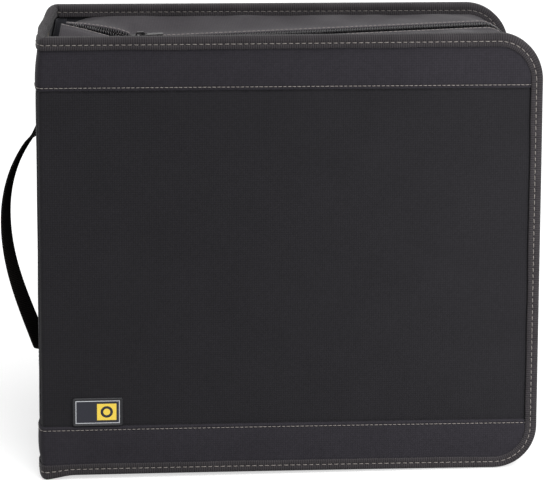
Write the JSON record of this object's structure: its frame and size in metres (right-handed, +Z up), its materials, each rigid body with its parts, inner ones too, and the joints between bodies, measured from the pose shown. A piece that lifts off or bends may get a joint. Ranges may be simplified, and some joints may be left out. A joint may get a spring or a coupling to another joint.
{
  "type": "cd storage case",
  "caption": "Large zip-round wallet for discs: padded fabric covers on a bowed spine with a webbing handle, gussets with a zip between them, bound sleeve pages inside.",
  "frame": {"origin": "middle of the bounding box, on the surface that the case stands on", "axes": "+X from the spine to the opening side, +Y from the front cover to the rear cover, +Z up; the case stands on its long lower edge"},
  "size_m": [0.3558, 0.104, 0.299],
  "materials": {
    "cloth": "padded woven polyester, fine plain weave, black",
    "band": "woven polyester, black",
    "binding": "grosgrain tape with cross ribs, charcoal",
    "gusset": "plain nylon, charcoal, soft sheen",
    "zip_tape": "woven zip tape, black",
    "coil": "nylon coil, black",
    "metal": "black enamel",
    "webbing": "woven webbing, black",
    "board": "polypropylene board, dark grey",
    "lining": "nylon lining, black",
    "page": "sleeve film over non-woven backing, pale grey",
    "strip": "binding cloth, black",
    "label": "moulded soft patch, near black"
  },
  "bodies": {
    "spine": {"handle": "webbing", "page_binding_strip": "strip", "page_block": "page", "spine_board": "board", "spine_bottom_band": "band", "spine_bottom_binding": "binding", "spine_centre_panel": "cloth", "spine_lining": "lining", "spine_top_band": "band", "spine_top_binding": "binding"},
    "front_cover": {"front_binding": "binding", "front_board": "board", "front_bottom_band": "band", "front_centre_panel": "cloth", "front_gusset": "gusset", "front_lining": "lining", "front_top_band": "band", "front_zip_coil": "coil", "front_zip_stop": "metal", "front_zip_tape": "zip_tape", "label_patch": "label"},
    "rear_cover": {"rear_binding": "binding", "rear_board": "board", "rear_bottom_band": "band", "rear_centre_panel": "cloth", "rear_gusset": "gusset", "rear_lining": "lining", "rear_top_band": "band", "rear_zip_coil": "coil", "rear_zip_stop": "metal", "rear_zip_tape": "zip_tape", "zip_end_stop": "metal"},
    "zip_slider": {"zip_slider": "metal"},
    "pull_tab": {"pull_tab": "metal"}
  },
  "joints": [
    {"name": "front_cover_fold", "type": "hinge", "parent": "spine", "child": "front_cover", "pos_m": [-0.1451, -0.052, 0.1495], "axis": [0, 0, -1], "range_deg": [0, 175], "deforming": ["front_zip_coil", "front_zip_tape"]},
    {"name": "rear_cover_fold", "type": "hinge", "parent": "spine", "child": "rear_cover", "pos_m": [-0.1451, 0.052, 0.1495], "axis": [0, 0, 1], "range_deg": [0, 175]},
    {"name": "zip_slide", "type": "slide", "parent": "rear_cover", "child": "zip_slider", "axis": [0.9993, 0, 0.0383], "range_m": [-0.042, 0.225], "deforming": ["rear_zip_coil", "rear_zip_tape"]},
    {"name": "pull_tab_turn", "type": "hinge", "parent": "zip_slider", "child": "pull_tab", "pos_m": [-0.08552, 0, 0.29006], "axis": [0, -1, 0], "range_deg": [0, 178]}
  ]
}
